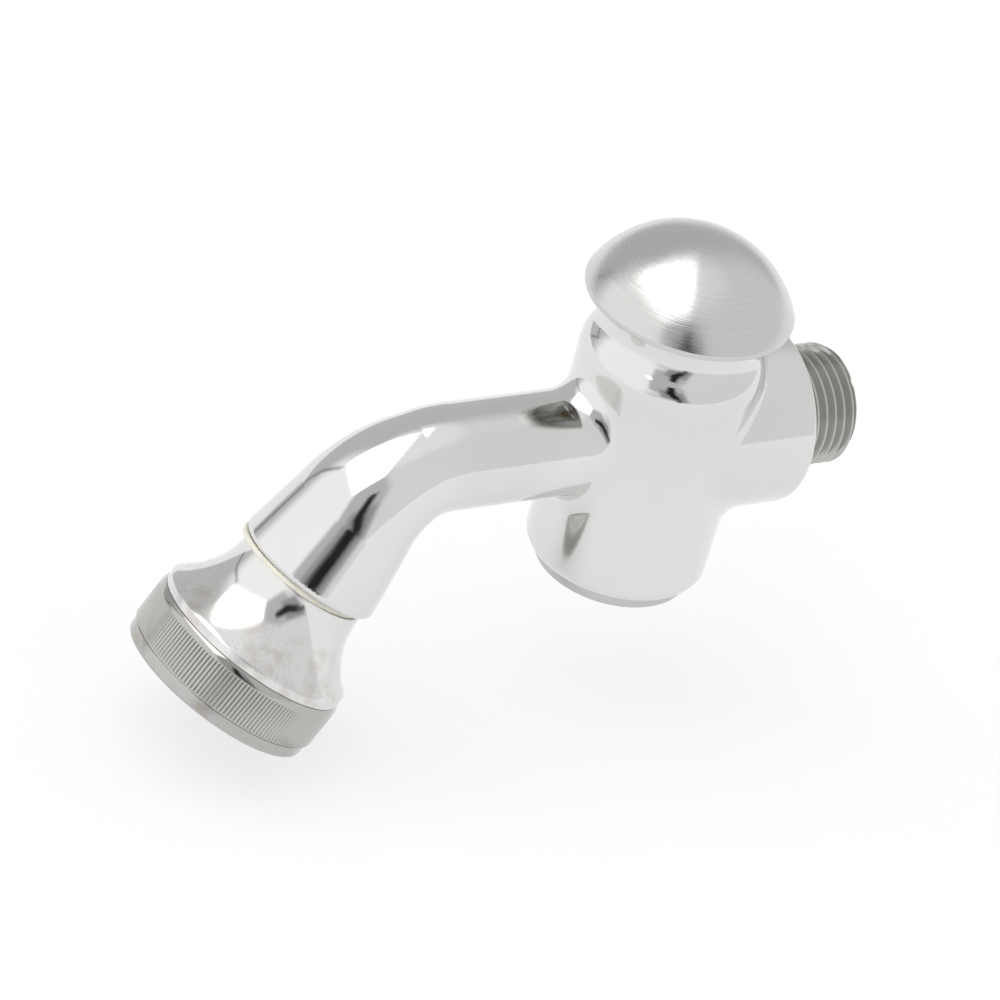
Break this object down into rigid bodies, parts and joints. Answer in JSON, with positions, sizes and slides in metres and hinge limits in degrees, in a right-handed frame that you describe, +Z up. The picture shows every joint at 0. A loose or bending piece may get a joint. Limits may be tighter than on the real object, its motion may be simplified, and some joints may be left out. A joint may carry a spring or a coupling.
{
  "type": "self-closing bib tap",
  "caption": "Wall tap with a threaded inlet, a mushroom push button that springs shut, a bent spout and a flared spray head held by a knurled ring.",
  "frame": {"origin": "on the inlet axis, at the flat end face of the inlet boss, where the threaded inlet begins", "axes": "+Y out along the inlet thread towards the supply pipe, +Z up along the button, -Y towards the spout; the tap is symmetric about X = 0 apart from its slightly off-centre head washer"},
  "size_m": [0.0364, 0.1262, 0.0905],
  "materials": {
    "plated_brass": "mirror-polished chrome plate on cast or turned brass",
    "plated_brass_brushed": "chrome plate over a fine circular brushing",
    "plated_brass_satin": "dull nickel plate",
    "brass": "bare turned brass",
    "stainless": "pressed stainless sheet",
    "spring_steel": "drawn stainless spring wire",
    "black_rubber": "moulded nitrile rubber",
    "white_nylon": "white nylon",
    "fibre": "red vulcanised fibre"
  },
  "bodies": {
    "tap": {"tap_body": "plated_brass", "bottom_plug": "plated_brass_satin", "plug_seal_ring": "fibre", "valve_seat": "brass", "guide_bush": "brass", "bush_washer": "fibre", "stem_o_ring_lower": "black_rubber", "stem_o_ring_upper": "black_rubber", "return_spring": "spring_steel", "head_washer": "white_nylon", "spray_bell": "plated_brass", "diffuser_disc": "white_nylon", "inlet_strainer": "stainless", "strainer_ring": "stainless"},
    "button": {"button_cap": "plated_brass_brushed", "button_lock_nut": "brass", "valve_stem": "brass", "washer_holder": "brass", "seat_washer": "black_rubber", "holder_nut": "brass"},
    "rose": {"spray_rose": "stainless", "rose_gasket": "black_rubber"},
    "ring": {"knurled_ring": "plated_brass"}
  },
  "joints": [
    {"name": "button_press", "type": "slide", "parent": "tap", "child": "button", "axis": [0, 0, -1], "range_m": [0, 0.005], "stiffness_N_per_m": 1500, "springref_m": -0.008, "deforming": ["return_spring"]},
    {"name": "rose_drop", "type": "slide", "parent": "tap", "child": "rose", "axis": [0, -0.4863, -0.8738], "range_m": [0, 0.003]},
    {"name": "ring_turn", "type": "hinge", "parent": "rose", "child": "ring", "pos_m": [0, -0.09553, -0.03869], "axis": [0, -0.4863, -0.8738], "range_deg": [0, 720]}
  ],
  "couplings": [
    {"joint": "ring_turn", "follows": "rose_drop", "rad_per_m": 4188.8}
  ]
}
